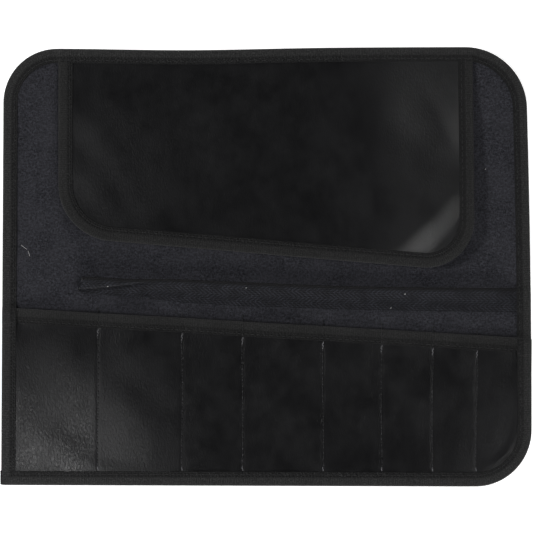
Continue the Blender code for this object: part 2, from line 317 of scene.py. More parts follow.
def felt():
    """Charcoal felt with a blue cast: tangled fibres, soft darker blots, and painted shade in a band beside
    the pockets' mouths.
    """
    g = Graph("charcoal_felt")
    wander = g.wander(900.0, (0.0016, 0.0016, 0.0016))
    upright = g.noise(g.cloth((1.0, 0.40, 1.0), wander), 1250.0, 3.0, rough=0.75)
    level = g.noise(g.cloth((0.4, 1.0, 1.0), wander), 950.0, 3.0, rough=0.75)
    tangle = g.math("MAXIMUM", upright, level)
    fleck = g.noise(g.cloth(), 640.0, rough=0.6)
    tone = g.remap(g.plus(g.times(tangle, 0.70), g.times(fleck, 0.30)), 0.45, 0.63)
    blot = g.remap(g.noise(g.cloth((1.0, 0.7, 1.0)), 165.0, 3.0), 0.42, 0.66)
    patch = g.remap(g.noise(g.cloth(), 42.0), 0.38, 0.62)
    colour = g.mix(tone, (0.0046, 0.0048, 0.0068), (0.0450, 0.0452, 0.0552))
    colour = g.mix(g.times(blot, 0.26), colour, (0.0100, 0.0103, 0.0132))
    colour = g.mix(g.times(patch, 0.25), colour, (0.0400, 0.0405, 0.0480))
    place = g.cloth()
    # Painted shade: a dark band in the felt just past the pockets' mouths, standing in for the shadow of
    # their raised edges.
    mouth_y = g.plus(g.times(g.along(place), MOUTH_SLOPE), MOUTH_MIDDLE)
    crease = g.remap(g.minus(g.across(place), mouth_y), 0.0007, 0.0026, 0.85, 0.0)
    colour = g.mix(crease, colour, (0.0020, 0.0020, 0.0028))
    fixed = {"Specular_IOR_Level": 0.15, "Sheen_Weight": 0.25, "Sheen_Roughness": 0.45}
    return g.finish(colour, 0.95, tangle, 0.8, 0.0005, **fixed)


def needle_hole_and_hem_shade(g, s, t):
    """Painted shade: dark dots in the needle holes along the two sewn rows of a tape, and a painted shadow
    along its raw inner hem.
    """
    # Painted shadow along the tape's inner hem, where it lies on the layer below.
    shade_marks = g.times(g.remap(t, 0.0005, 0.0013, 1.0, 0.0), 0.95)
    for row in NEEDLE_ROWS:
        aside = g.math("ABSOLUTE", g.minus(t, row))
        away = g.math("PINGPONG", g.plus(s, row), NEEDLE_PITCH / 2)
        hole = g.remap(g.plus(aside, away), 0.00040, 0.00110, 1.0, 0.0)
        shade_marks = g.math("MAXIMUM", shade_marks, g.times(hole, 0.9))
    return shade_marks


def woven_tape(name, shade):
    """Ribbed tape: cross ribs outside, a darker knotted weave inside, painted shade in the needle holes and
    along the hem.
    """
    g = Graph(name)
    place = g.cloth(shift=g.wander(500.0, (0.0007, 0.0007, 0.0)))
    s, t = g.along(place), g.across(place)
    ribs = g.wave(s, 0.0016)
    weave = g.times(ribs, g.wave(t, 0.0009))
    knots = g.cells(g.cloth(), 860.0, randomness=0.8)
    near_edge = g.remap(t, 0.0045, 0.0055, 1.0, 0.0)
    knotted = g.minus(1.0, g.remap(knots, 0.08, 0.62))
    ribbed = g.plus(g.times(ribs, 0.30), g.times(weave, 0.40))
    ribbed = g.remap(g.plus(ribbed, g.times(knots, 1.3)), -0.2, 1.2)
    pattern = g.node("ShaderNodeMix", {0: near_edge, 2: ribbed, 3: knotted}, data_type="FLOAT")
    speck = g.remap(g.noise(g.cloth(), 900.0, rough=0.7), 0.40, 0.62)
    tone = g.times(pattern, g.plus(0.22, speck))
    light, dark, wear_and_highlight = [tuple(shade * value for value in colour) for colour in TAPE_COLOURS]
    colour = g.mix(tone, dark, light)
    colour = g.mix(g.times(near_edge, 0.18), colour, dark)
    # Painted highlight along the tape's fold.
    rim = g.times(g.remap(t, 0.0086, 0.0094), g.remap(t, 0.0102, 0.0110, 1.0, 0.0))
    colour = g.mix(g.times(rim, 0.12), colour, wear_and_highlight)
    # Painted shade of the needle holes and the hem, also sunk into the bump.
    shade_marks = needle_hole_and_hem_shade(g, s, t)
    colour = g.mix(shade_marks, colour, (0.0022, 0.0022, 0.0025))
    height = g.minus(pattern, g.times(shade_marks, 1.2))
    fixed = {"Specular_IOR_Level": 0.22, "Sheen_Weight": 0.08, "Sheen_Roughness": 0.5}
    return g.finish(colour, 0.8, height, 0.75, 0.00024, **fixed)


def herringbone():
    """Twill tape: four bands of slanting yarns that change direction from band to band, fuzzy and worn, with
    a painted shadow along its upper edge.
    """
    g = Graph("herringbone_twill")
    place = g.cloth(shift=g.wander(520.0, (0.0011, 0.0011, 0.0)))
    s, t = g.along(place), g.across(place)
    band = g.math("PINGPONG", t, TIE_ACROSS / 4)
    slant = g.plus(g.times(s, 0.9), g.times(band, 1.15))
    yarn = g.wave(slant, 0.0030)
    beads = g.wave(t, 0.0014)
    pattern = g.remap(g.plus(yarn, g.times(beads, 0.7)), -1.2, 1.5)
    fuzz = g.noise(g.cloth(), 1100.0, 3.0, rough=0.75)
    wear_and_highlight = g.remap(g.noise(g.cloth(), 110.0), 0.35, 0.65, 0.35, 1.0)
    tone = g.times(g.times(pattern, wear_and_highlight), g.remap(fuzz, 0.36, 0.66, 0.10, 1.5))
    colour = g.mix(tone, (0.0018, 0.0020, 0.0034), (0.0310, 0.0322, 0.0425))
    # Painted shadow: a dark band along the tie's upper edge, where it stands off the lining.
    upper_edge_shade = g.remap(g.across(g.cloth()), TIE_ACROSS - 0.0030, TIE_ACROSS - 0.0016)
    colour = g.mix(g.times(upper_edge_shade, 0.95), colour, (0.0020, 0.0020, 0.0026))
    height = g.plus(pattern, g.times(fuzz, 0.9))
    fixed = {"Specular_IOR_Level": 0.2, "Sheen_Weight": 0.12, "Sheen_Roughness": 0.5}
    return g.finish(colour, 0.85, height, 0.9, 0.0003, **fixed)


def thread(name, dark, light):
    """Twisted thread, paler on the crowns of its twist."""
    g = Graph(name)
    place = g.cloth()
    twist = g.wave(g.plus(g.along(place), g.times(g.across(place), 0.6)), 0.0006)
    colour = g.mix(g.remap(twist, -1.0, 1.0), dark, light)
    return g.finish(colour, 0.6, twist, 0.5, 0.00008, Specular_IOR_Level=0.4)


def lint():
    g = Graph("lint")
    fluff = g.noise(g.cloth(), 3000.0)
    colour = g.mix(fluff, (0.30, 0.30, 0.30), (0.62, 0.62, 0.61))
    return g.finish(colour, 0.95, fluff, 0.4, 0.0001, Specular_IOR_Level=0.1)


POCKET_LEATHER = leather("grained_leather", 0.42, 0.28, 0.36)
FLAP_LEATHER = leather("satin_leather", 0.34, 0.285, 0.335)
FELT = felt()
WOVEN = woven_tape("woven_tape", 1.0)
WOVEN_DARK = woven_tape("woven_tape_dark", 0.64)
TWILL = herringbone()
THREAD = thread("grey_thread", (0.018, 0.018, 0.020), (0.060, 0.060, 0.064))
THREAD_PALE = thread("pale_thread", (0.06, 0.06, 0.065), (0.17, 0.17, 0.18))
THREAD_DARK = thread("black_thread", (0.0030, 0.0030, 0.0034), (0.0110, 0.0110, 0.0118))
LINT = lint()


# Meshes

SHARP_ANGLE = math.radians(50)


def bowed(co):
    """The sewn outline is not quite straight: the right side stands out and the top dips a little."""
    x, y = co[:, 0].copy(), co[:, 1].copy()
    co[:, 0] += 0.0012 * smooth((x - 0.09) / 0.09) * np.cos(np.pi * np.clip(y / 0.29, -0.5, 0.5))
    co[:, 1] -= 0.0016 * smooth((y - 0.09) / 0.05) * np.exp(-((x + 0.055) / 0.07) ** 2)
    return co


def make_object(name, co, faces, uv, material):
    """A mesh object from points, faces and one uv pair for each point."""
    mesh = bpy.data.meshes.new(name)
    mesh.from_pydata(bowed(np.array(co, float)).tolist(), [], faces)
    layer = mesh.uv_layers.new(name="cloth")
    loops = np.zeros(len(mesh.loops), np.int32)
    mesh.loops.foreach_get("vertex_index", loops)
    layer.data.foreach_set("uv", np.asarray(uv, np.float32)[loops].ravel())
    mesh.materials.append(material)
    mesh.shade_smooth()
    mesh.set_sharp_from_angle(angle=SHARP_ANGLE)
    mesh.update()
    return add_object(name, mesh)


def grid_faces(rows, columns, start=0, flip=False, wrap=False):
    """Quads of a grid of points, numbered row by row from start."""
    faces = []
    for i in range(rows - 1):
        for j in range(columns if wrap else columns - 1):
            k = (j + 1) % columns
            quad = (start + i * columns + j, start + (i + 1) * columns + j,
                    start + (i + 1) * columns + k, start + i * columns + k)
            faces.append(quad[::-1] if flip else quad)
    return faces


def slab(name, xs, low, high, rows, top, bottom, material):
    """A closed sheet over x columns from y low(x) to high(x), between two height functions."""
    share = np.linspace(0, 1, rows)
    y = low(xs)[:, None] + (high(xs) - low(xs))[:, None] * share
    x = np.repeat(xs[:, None], rows, axis=1)
    count = len(xs)
    above = np.stack([x, y, top(x, y)], -1).reshape(-1, 3)
    below = np.stack([x, y, bottom(x, y)], -1).reshape(-1, 3)
    under = count * rows
    faces = grid_faces(count, rows) + grid_faces(count, rows, under, flip=True)
    ring = [i * rows for i in range(count)]
    ring += [(count - 1) * rows + j for j in range(1, rows)]
    ring += [i * rows + rows - 1 for i in range(count - 2, -1, -1)]
    ring += [j for j in range(rows - 2, 0, -1)]
    faces += [(a, under + a, under + b, b) for a, b in zip(ring, ring[1:] + ring[:1])]
    uv = np.concatenate([above[:, :2], below[:, :2]])
    obj = make_object(name, np.concatenate([above, below]), faces, uv, material)
    area = float(np.trapz(high(xs) - low(xs), xs))
    size = (float(xs[-1] - xs[0]), float(high(xs).max() - low(xs).min()))
    return obj, size, area


def tape_section(width, low_width, fold):
    """Section of a folded tape: distances in from the edge, shares of the stack, thicknesses past it."""
    section = [(width, 1, 0.25), (width - 0.00025, 1, 0.95)]
    section += [(d, 1, 1.0) for d in np.linspace(width - 0.0007, 0.0006, 18)]
    for angle in np.linspace(1.35, -1.35, 9):
        section.append((-fold * math.cos(angle), 0.5 + 0.5 * math.sin(angle), math.sin(angle)))
    section += [(d, 0, -1.0) for d in np.linspace(0.0006, low_width, 9)]
    section += [(low_width, 0, 0.0), (0.002, 0, 0.0), (0.0004, 0.15, 0.0)]
    section += [(0.0004, 0.85, 0.0), (0.002, 1, 0.0)]
    return np.array(section).T


def tape(name, line, over, under, width, fold, stitch_in, material):
    """A tape folded over an edge. line is the framed line of that edge."""
    path, inward, along = line
    low_width = width - LOW_LEG_SHORT
    d, share, thick = tape_section(width, low_width, fold)
    at = path[:, None, :] + inward[:, None, :] * np.maximum(d, 0.0)[None, :, None]
    high = over(at[..., 0], at[..., 1])
    low = under(at[..., 0], at[..., 1])
    z = low + (high - low) * share + TAPE * thick
    pull = np.exp(-((d - stitch_in) / 0.0007) ** 2) + 0.35 * np.exp(-((d - stitch_in) / 0.0022) ** 2)
    pull = pull * (share == 1) * (thick > 0.5)
    pucker = 0.55 + 0.45 * np.cos(2 * math.pi * along / STITCH_PITCH)
    z = z - 0.00016 * pull[None, :] * pucker[:, None]
    xy = path[:, None, :] + inward[:, None, :] * d[None, :, None]
    co = np.concatenate([xy, z[..., None]], -1).reshape(-1, 3)
    count = len(d)
    faces = grid_faces(len(path), count, wrap=True)
    faces.append(tuple(range(count)))
    faces.append(tuple(range((len(path) - 1) * count, len(path) * count))[::-1])
    gap = np.hypot(np.diff(d), np.diff(share) * 0.002)
    across = np.concatenate([[0], np.cumsum(gap)])
    uv = np.stack(np.broadcast_arrays(along[:, None], across[None, :]), -1).reshape(-1, 2)
    obj = make_object(name, co, faces, uv, material)
    return obj, (width + low_width + 2 * fold, float(along[-1] - along[0]))


def stitches(name, centres, directions, surface, material, side=1,
             length=STITCH_LENGTH, radius=STITCH_RADIUS):
    """Short arched threads that dip into the cloth at both ends."""
    centres, directions = np.array(centres, float), np.array(directions, float)
    directions /= np.linalg.norm(directions, axis=1)[:, None]
    along = np.array([-0.5, -0.40, -0.2, 0.0, 0.2, 0.40, 0.5]) * length
    lift = np.array([-1.4, -0.15, 0.55, 0.75, 0.55, -0.15, -1.4]) * radius
    swell = np.array([0.55, 0.9, 1.0, 1.05, 1.0, 0.9, 0.55]) * radius
    sides = 6
    angle = np.arange(sides) * 2 * math.pi / sides
    middle = centres[:, None, :] + directions[:, None, :] * along[None, :, None]
    height = surface(middle[..., 0], middle[..., 1]) + side * lift
    sideways = np.stack([-directions[:, 1], directions[:, 0]], -1)
    offset = np.cos(angle)[None, None, :] * swell[None, :, None]
    xy = middle[:, :, None, :] + sideways[:, None, None, :] * offset[..., None]
    z = height[:, :, None] + np.sin(angle)[None, None, :] * swell[None, :, None]
    co = np.concatenate([xy, z[..., None]], -1)
    rings = len(along)
    faces = []
    for i in range(len(centres)):
        start = i * rings * sides
        faces += grid_faces(rings, sides, start, wrap=True)
        faces.append(tuple(start + j for j in range(sides)))
        faces.append(tuple(start + (rings - 1) * sides + j for j in range(sides))[::-1])
    uv = np.zeros((len(centres), rings, sides, 2))
    uv[..., 0] = along[None, :, None]
    uv[..., 1] = angle[None, None, :] * radius
    return make_object(name, co.reshape(-1, 3), faces, uv.reshape(-1, 2), material)


# Outlines

def turn_at(corners, i):
    """Direction of the side that ends at corner i, and the turn from it to the next side."""
    before, here, after = corners[i - 1], corners[i], corners[(i + 1) % len(corners)]
    first = math.atan2(here[1] - before[1], here[0] - before[0])
    return first, (math.atan2(after[1] - here[1], after[0] - here[0]) - first) % (2 * math.pi)


def offset_corners(corners, inset):
    """Corners of a counter-clockwise polygon with every side moved in by inset."""
    moved = []
    for i, here in enumerate(corners):
        first, turn = turn_at(corners, i)
        reach = inset / math.cos(turn / 2)
        inward = first + turn / 2 + math.pi / 2
        moved.append((here[0] + reach * math.cos(inward), here[1] + reach * math.sin(inward)))
    return moved


def rounded(corners, radii, inset=0.0):
    """Points of a counter-clockwise polygon with rounded corners, moved in by inset."""
    moved = offset_corners(corners, inset)
    points = []
    for i, here in enumerate(moved):
        radius = max(radii[i] - inset, 0.0004)
        first, turn = turn_at(moved, i)
        back = radius * math.tan(turn / 2)
        start = (here[0] - back * math.cos(first), here[1] - back * math.sin(first))
        centre = (start[0] - radius * math.sin(first), start[1] + radius * math.cos(first))
        for angle in first - math.pi / 2 + turn * np.linspace(0, 1, CORNER_STEPS + 1):
            points.append((centre[0] + radius * math.cos(angle), centre[1] + radius * math.sin(angle)))
    return np.array(points)


def distances(points):
    """Distance along a line at each of its points."""
    return np.concatenate([[0], np.cumsum(np.hypot(*np.diff(points, axis=0).T))])


def picked(at, s, pairs):
    """Pairs of values that belong to the distances s along a line, read at other distances."""
    return np.stack([np.interp(at, s, pairs[:, 0]), np.interp(at, s, pairs[:, 1])], -1)


def resampled(points, step):
    """The same line with even spacing."""
    s = distances(points)
    return picked(np.linspace(0, s[-1], max(2, int(round(s[-1] / step)) + 1)), s, points)


def curve(points):
    """A line through points, as y for any x."""
    def y_at(x):
        return np.interp(x, points[:, 0], points[:, 1])
    return y_at


def y_limits(polygon):
    """Lowest and highest y of a convex outline as functions of x."""
    left, right = polygon[:, 0].argmin(), polygon[:, 0].argmax()
    count = len(polygon)
    lower = [(left + i) % count for i in range((right - left) % count + 1)]
    upper = [(right + i) % count for i in range((left - right) % count + 1)][::-1]
    return curve(polygon[lower]), curve(polygon[upper])


pocket_edge = curve(np.array(POCKET_EDGE))


def columns_between(first, last, step=0.0020):
    """x positions from first to last, with closer ones beside each seam."""
    xs = list(np.linspace(first, last, max(3, int(round((last - first) / step)) + 1)))
    for seam in SEAMS:
        xs.append(seam)
        for beside in (0.0008, 0.0016, 0.0028, 0.0045):
            xs += [seam - beside, seam + beside]
    xs = np.array(sorted(x for x in xs if first <= x <= last))
    keep = np.concatenate([[True], np.diff(xs) > 0.00025])
    keep[-1] = True
    return xs[keep]


# Heights

def level(value):
    """A surface or an edge that keeps one value."""
    def surface(x, y=None):
        return np.full_like(x, value)
    return surface


def raised(surface, by):
    def top(x, y):
        return surface(x, y) + by
    return top


cover_top = level(COVER_TOP)
lining_under = level(COVER_TOP + 0.00002)
edge_low = level(COVER_BORDER - 0.00006)
lining_waves = Waves(3, 0.020, 0.080)
pocket_waves = Waves(11, 0.022, 0.075)
flap_waves = Waves(7, 0.030, 0.110)
cover_waves = Waves(19, 0.020, 0.070)


def lining_top(x, y):
    return LINING_TOP + 0.00010 * lining_waves(x, y)


def cover_under(x, y):
    inset = np.minimum(HALF_WIDTH - 0.0010 - np.abs(x), HALF_HEIGHT - 0.0008 - np.abs(y))
    inner = smooth((inset - TAPE_WIDTH - 0.0006) / 0.004)
    past_x = np.maximum(np.abs(x) - 0.150, 0)
    past_y = np.maximum(np.abs(y) - 0.118, 0)
    corner = np.clip(np.hypot(past_x, past_y) - 0.026, 0, None)
    inner = inner * (1 - smooth(corner / 0.004))
    return COVER_BORDER + (COVER_MIDDLE - COVER_BORDER) * inner


def arch(x, y):
    """How far the pocket panel stands up off the lining: nothing at a seam, most at a mouth."""
    lift = np.zeros_like(x)
    for i in range(COLUMNS):
        left = EDGES[i] + (TAPE_WIDTH if i == 0 else 0.0)
        right = EDGES[i + 1] - (TAPE_WIDTH if i == COLUMNS - 1 else 0.0)
        u = np.clip((x - left) / (right - left), 0, 1)
        tall = min(ARCH_TALLEST, ARCH_SHARE * (right - left))
        lift = lift + tall * np.sin(math.pi * u) ** 2 * (x >= left) * (x <= right)
    foot = -HALF_HEIGHT + TAPE_WIDTH
    v = (y - foot) / (pocket_edge(x) - foot)
    return lift * smooth((v - 0.12) / 0.95) ** 1.2


def seam_pull(x, y):
    """Narrow furrow that each divider's thread pulls into the leather."""
    pull = np.zeros_like(x)
    for seam in SEAMS:
        pull = pull + np.exp(-((x - seam) / 0.0013) ** 2)
    return pull * smooth((pocket_edge(x) - y) / 0.002)


def slanted_folds(x, y, first, pitch):
    """Soft folds that run down to the right. They rise fastest at first and once every pitch after it."""
    return np.sin(2 * math.pi * ((x + y) / math.sqrt(2) - first) / pitch)


def low_left_folds(x, y):
    return slanted_folds(x, y, -0.217, 0.058) * (1 - smooth(((x + y) / math.sqrt(2) + 0.145) / 0.045))


def corner_roll(x, y):
    """Roll of leather that the tape pushes up along the inside of the rounded lower right corner."""
    radius = RADII[1] - TAPE_WIDTH
    out = x - (HALF_WIDTH - RADII[1])
    down = -(y + HALF_HEIGHT - RADII[1])
    away = np.hypot(out, down)
    turn = np.arctan2(down, out)
    share = np.exp(-((turn - math.radians(45)) / math.radians(27)) ** 2)
    return 0.0011 * share * np.exp(-((away - radius + 0.0036) / 0.0026) ** 2)


def pocket_under(x, y):
    return LINING_TOP + CLEAR + arch(x, y)


def pocket_top(x, y):
    foot = smooth((y + HALF_HEIGHT - TAPE_WIDTH) / 0.012)
    sides = smooth((HALF_WIDTH - TAPE_WIDTH - np.abs(x)) / 0.012)
    soft = (0.00018 * pocket_waves(x, y) + 0.00040 * low_left_folds(x, y)) * foot * sides
    z = pocket_under(x, y) + LEATHER + np.maximum(soft, -0.0005)
    return z - 0.00030 * seam_pull(x, y) + corner_roll(x, y)


def flap_lift(x, y):
    """Height of the flap's underside over the lining."""
    down = np.clip(FLAP_HINGE_Y - 0.002 - y, 0, None)
    free = smooth(down / 0.035)
    right = smooth((x - 0.020) / 0.110)
    low = smooth((0.060 - y) / 0.055)
    lift = FLAP_GAP + FLAP_LOFT * free + FLAP_LOWER_RISE * free * low
    lift += FLAP_RIGHT_RISE * right * smooth(down / 0.06)
    lift += FLAP_WAVE * flap_waves(x, y) * free
    left = 1 - smooth((x + 0.118) / 0.030)
    lift += FLAP_FOLD * slanted_folds(x, y, -0.025, 0.030) * left * free
    from_corner = ((FLAP_RIGHT - x) + (y - FLAP_BOTTOM_RIGHT)) / math.sqrt(2)
    lift -= FLAP_CORNER_DIP * (1 - smooth((from_corner - 0.030) / 0.020)) * free
    upper_right = smooth((0.878 * x + 0.479 * y - 0.157) / 0.016)
    lift -= FLAP_UPPER_DIP * upper_right * free
    return np.maximum(lift, FLAP_GAP)


def flap_under(x, y):
    return LINING_TOP + flap_lift(x, y)


def flap_top(x, y):
    return flap_under(x, y) + LEATHER


def stack_top(x, y):
    """Top of the layers that the edge tape is folded over."""
    below = pocket_edge(x) - y
    pocket = smooth((below + 0.0018) / 0.0034)
    hem = pocket * (1 - smooth((below - 0.0096) / 0.0022))
    root = smooth((y - FLAP_HINGE_Y + 0.012) / 0.004)
    root = root * smooth((x - FLAP_LEFT + 0.0015) / 0.003) * (1 - smooth((x - FLAP_RIGHT - 0.0015) / 0.003))
    tie = smooth((0.0098 - np.abs(y - TIE_STATIONS[0][1])) / 0.0022) * (x > 0.15)
    furrow = 0.00025 * sum(np.exp(-((x - seam) / 0.0016) ** 2) for seam in SEAMS)
    z = LINING_TOP + CLEAR + pocket * (LEATHER - furrow) + 0.0006 * hem
    z = z + (LEATHER + 0.0001) * root + 0.0007 * tie
    return z + 0.00012 * lining_waves(x * 1.3, y * 1.3)


# Layers of the case

layer_low, layer_high = y_limits(rounded(CORNERS, RADII, LAYER_IN))
BLEND_REACH = 0.008             # of a bend, to each side of its seam
ENDS = [-HALF_WIDTH + LAYER_IN] + MIDS[1:-1] + [HALF_WIDTH - LAYER_IN]


def seam_bend(i):
    """Where the bend over seam i starts and ends."""
    return (SEAMS[i] + BLEND_REACH, 0.0, FOLD_Z), (SEAMS[i] - BLEND_REACH, 0.0, FOLD_Z)


def bend_at_seam(obj, i, slot, *nodes):
    """Piece i crosses seam i, between columns i + 1 and i + 2."""
    start, end = seam_bend(i)
    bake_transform(obj)
    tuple(start)
    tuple(end)
    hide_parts(*nodes)


def last_too(i, stem):
    """The CAD nodes that piece i stands for: its own column's, and the last column's for the last piece."""
    return [f"{stem}_{i + 1}"] + ([f"{stem}_{COLUMNS}"] if i == COLUMNS - 2 else [])


def cover_bottom(x, y):
    return cover_under(x, y) + 0.00006 * np.maximum(cover_waves(x, y), 0)


for i in range(COLUMNS - 1):
    xs = columns_between(ENDS[i], ENDS[i + 1])
    back, size, area = slab(f"back_leather_{i + 1}", xs, layer_low, layer_high, 120,
                            cover_top, cover_bottom, POCKET_LEATHER)
    bend_at_seam(back, i, "leather", *last_too(i, "cover"))
    lining, size, area = slab(f"felt_lining_{i + 1}", xs, layer_low, layer_high, 150,
                              lining_top, lining_under, FELT)
    bend_at_seam(lining, i, "lining", *last_too(i, "lining"))
    pocket, size, area = slab(f"pocket_leather_{i + 1}", xs, layer_low, pocket_edge, 90,
                              pocket_top, pocket_under, POCKET_LEATHER)
    bend_at_seam(pocket, i, "leather", *last_too(i, "pocket"))


# Edge tape

def cut_at(line, xs, wanted):
    """Line with extra points wherever it crosses one of xs, so that pieces can end exactly there."""
    points = [line[0]]
    for a, b in zip(line[:-1], line[1:]):
        between = [x for x in xs if (x - a[0]) * (x - b[0]) < 0 and wanted(a)]
        crossed = sorted((x - a[0]) / (b[0] - a[0]) for x in between)
        points += [a + (b - a) * t for t in crossed]
        points.append(b)
    return np.array(points)


def runs_of(line, key):
    """Splits a framed line into runs of one key, with neighbours sharing the point between them."""
    middles = (line[0][:-1] + line[0][1:]) / 2
    keys = [key(p) for p in middles]
    runs, start = [], 0
    for i in range(1, len(keys) + 1):
        if i == len(keys) or keys[i] != keys[start]:
            runs.append((keys[start], [part[start:i + 1] for part in line]))
            start = i
    return runs


def framed(line):
    """A framed line: its points, and at each of them the way in and the distance along."""
    s = distances(line)
    tangent = np.gradient(line, s, axis=0)
    tangent /= np.linalg.norm(tangent, axis=1)[:, None]
    return line, np.stack([-tangent[:, 1], tangent[:, 0]], -1), s


def seam_of(p):
    return int(np.searchsorted(MIDS[1:-1], p[0]))


def is_level(p):
    """Whether a point of the outline lies on its top or bottom side."""
    return abs(p[1]) > 0.10


def edge_key(p):
    """Which side and seam a point of the outline belongs to."""
    index = seam_of(p)
    left_foot = p[0] < -HALF_WIDTH + 0.01 and p[1] > edge_end[1] + 0.0005
    upper_corner = index in (0, COLUMNS - 2) and p[1] > 0
    if left_foot or upper_corner or not is_level(p):
        return ("side", 0 if p[0] < 0 else COLUMNS - 2)
    if index == COLUMNS - 2:
        return ("side", index)
    return ("top" if p[1] > 0 else "bottom", index)


def edge_nodes(side, i):
    """The CAD nodes that a piece of the edge tape stands for."""
    if side != "side":
        return [f"{side}_binding_{i + 1}"]
    if i == 0:
        return ["binding_left"]
    return ["binding_right", f"top_binding_{i + 1}", f"bottom_binding_{i + 1}"]


# The tape starts and ends at the lower left corner: its bottom run covers the end of its left run
outline = rounded(CORNERS, RADII, TAPE_FOLD)
outline = np.concatenate([outline[CORNER_STEPS:], outline[:1]])
edge_end = outline[-1]
loop = np.concatenate([[(-HALF_WIDTH - 0.0004, edge_end[1])], outline])
edge_line = framed(cut_at(resampled(loop, 0.0018), MIDS[1:-1], is_level))
edge_line[1][0] = (0.0, 1.0)
edge_line[1][-3:] = (1.0, 0.0)

for (side, i), stretch in runs_of(edge_line, edge_key):
    piece, size = tape(f"edge_tape_{side}_{i + 1}", stretch, stack_top, edge_low,
                       TAPE_WIDTH - TAPE_FOLD, TAPE_FOLD, STITCH_IN - TAPE_FOLD, WOVEN)
    bend_at_seam(piece, i, "binding_tape", *edge_nodes(side, i))


# Tape over the pockets' mouths

MOUTH_END = HALF_WIDTH - 0.004
mouth_line = np.array([(x, pocket_edge(x)) for x in np.linspace(MOUTH_END, -MOUTH_END, 230)])
mouth_line = framed(cut_at(mouth_line, MIDS[1:-1], lambda p: True))
for i, stretch in runs_of(mouth_line, seam_of):
    piece, size = tape(f"pocket_tape_{i + 1}", stretch, pocket_top, pocket_under,
                       POCKET_TAPE_WIDTH, FLAP_TAPE_FOLD, POCKET_STITCH_IN, WOVEN_DARK)
    bend_at_seam(piece, i, "binding_tape")


# Flap

FLAP_ROOT = FLAP_HINGE_Y + 0.0042
FLAP_CORNERS = (
    (FLAP_LEFT, FLAP_BOTTOM_LEFT), (FLAP_RIGHT, FLAP_BOTTOM_RIGHT),
    (FLAP_RIGHT, FLAP_ROOT), (FLAP_LEFT, FLAP_ROOT),
)
FLAP_RADII = (FLAP_RADIUS_LEFT, FLAP_RADIUS_RIGHT, 0.0005, 0.0005)


def flap_sag(points):
    """The flap's lower edge hangs a little lower in its middle."""
    out = points.copy()
    share = (points[:, 0] - FLAP_LEFT) / (FLAP_RIGHT - FLAP_LEFT)
    out[:, 1] -= FLAP_SAG * np.sin(math.pi * np.clip(share, 0, 1)) * smooth((0.07 - points[:, 1]) / 0.05)
    return out


def bend_at_root(obj, i, slot, *nodes):
    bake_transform(obj)
    if nodes:
        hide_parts(*nodes)


def panel_of(p):
    return int(np.searchsorted(SEAMS[:-1], p[0]))


flap_low, _ = y_limits(flap_sag(rounded(FLAP_CORNERS, FLAP_RADII, 0.0007)))
for i in range(COLUMNS - 1):
    first = FLAP_LEFT + 0.0008 if i == 0 else SEAMS[i - 1]
    last = FLAP_RIGHT - 0.0008 if i == COLUMNS - 2 else SEAMS[i]
    xs = np.linspace(first, last, max(4, int((last - first) / 0.0015)))
    panel, size, area = slab(f"flap_leather_{i + 1}", xs, flap_low, level(FLAP_ROOT), 130,
                             flap_top, flap_under, FLAP_LEATHER)
    bend_at_root(panel, i, "leather", f"flap_{i + 1}")

flap_edge = flap_sag(rounded(FLAP_CORNERS, FLAP_RADII, FLAP_TAPE_FOLD))
start_at = int(np.argmin(np.hypot(flap_edge[:, 0] - FLAP_LEFT, flap_edge[:, 1] - FLAP_ROOT)))
flap_edge = np.roll(flap_edge, -start_at, axis=0)
stop_at = int(np.argmin(np.hypot(flap_edge[:, 0] - FLAP_RIGHT, flap_edge[:, 1] - FLAP_ROOT)))
flap_line = resampled(flap_edge[:stop_at + 1], 0.0016)
flap_line = framed(cut_at(flap_line, SEAMS, lambda p: p[1] < 0.06))
flap_line[1][:2] = (1.0, 0.0)
flap_line[1][-2:] = (-1.0, 0.0)
for i, stretch in runs_of(flap_line, panel_of):
    piece, size = tape(f"flap_tape_{i + 1}", stretch, flap_top, flap_under,
                       FLAP_TAPE_WIDTH - FLAP_TAPE_FOLD, FLAP_TAPE_FOLD, FLAP_STITCH_IN, WOVEN_DARK)
    bend_at_root(piece, i, "binding_tape")


# Tie

tie_x, tie_y, tie_wide = np.array(TIE_STATIONS[::-1]).T


def tie_values(x):
    """Centre line, visible width and share folded under at x."""
    folded = smooth((-0.080 - x) / 0.016)
    return np.interp(x, tie_x, tie_y), np.interp(x, tie_x, tie_wide), folded


def tie_point(x, t):
    """Centre of the tape's thickness at x, with t from 0 at its lower edge to 1 at its upper edge."""
    centre, wide, folded = tie_values(x)
    fold_at = 0.27 * folded
    y_flat = centre + (t - 0.5) * wide
    # folded part: the lower share turns under and lies beneath the rest
    tucked = np.where(fold_at > 0, np.clip((fold_at - t) / np.maximum(fold_at, 1e-6), 0, 1), 0.0)
    turned = (folded > 0) & (t < fold_at)
    top_share = np.where(t >= fold_at, (t - fold_at) / (1 - fold_at), 0.0)
    y_top = centre + (top_share - 0.5) * wide
    y_under = centre - 0.5 * wide + tucked * 0.0042
    bulge = 0.0008 * np.sin(tucked * math.pi) * turned
    y = np.where(folded > 0, np.where(turned, y_under - bulge * 0.3, y_top), y_flat)
    rise = 0.0001 + 0.0027 * smooth((t - 0.30) / 0.70) + 0.0013 * folded * (1 - 0.3 * top_share)
    layer_edge = 0.20 + 0.70 * np.clip((x + 0.132) / 0.052, 0, 1)
    rise = rise - 0.0015 * folded * np.exp(-((top_share - layer_edge) / 0.075) ** 2)
    ripple = 0.00022 * np.sin(x * 210.0) + 0.00012 * np.sin(x * 470.0 + 2.0 * t)
    z = LINING_TOP + 0.0005 + rise + ripple
    z = np.where(turned, LINING_TOP + 0.0006 + 0.0013 * (1 - tucked) + ripple * 0.5, z)
    held = smooth((x - 0.166) / 0.010)
    z = z * (1 - held) + (LINING_TOP + 0.0005) * held
    return y, z


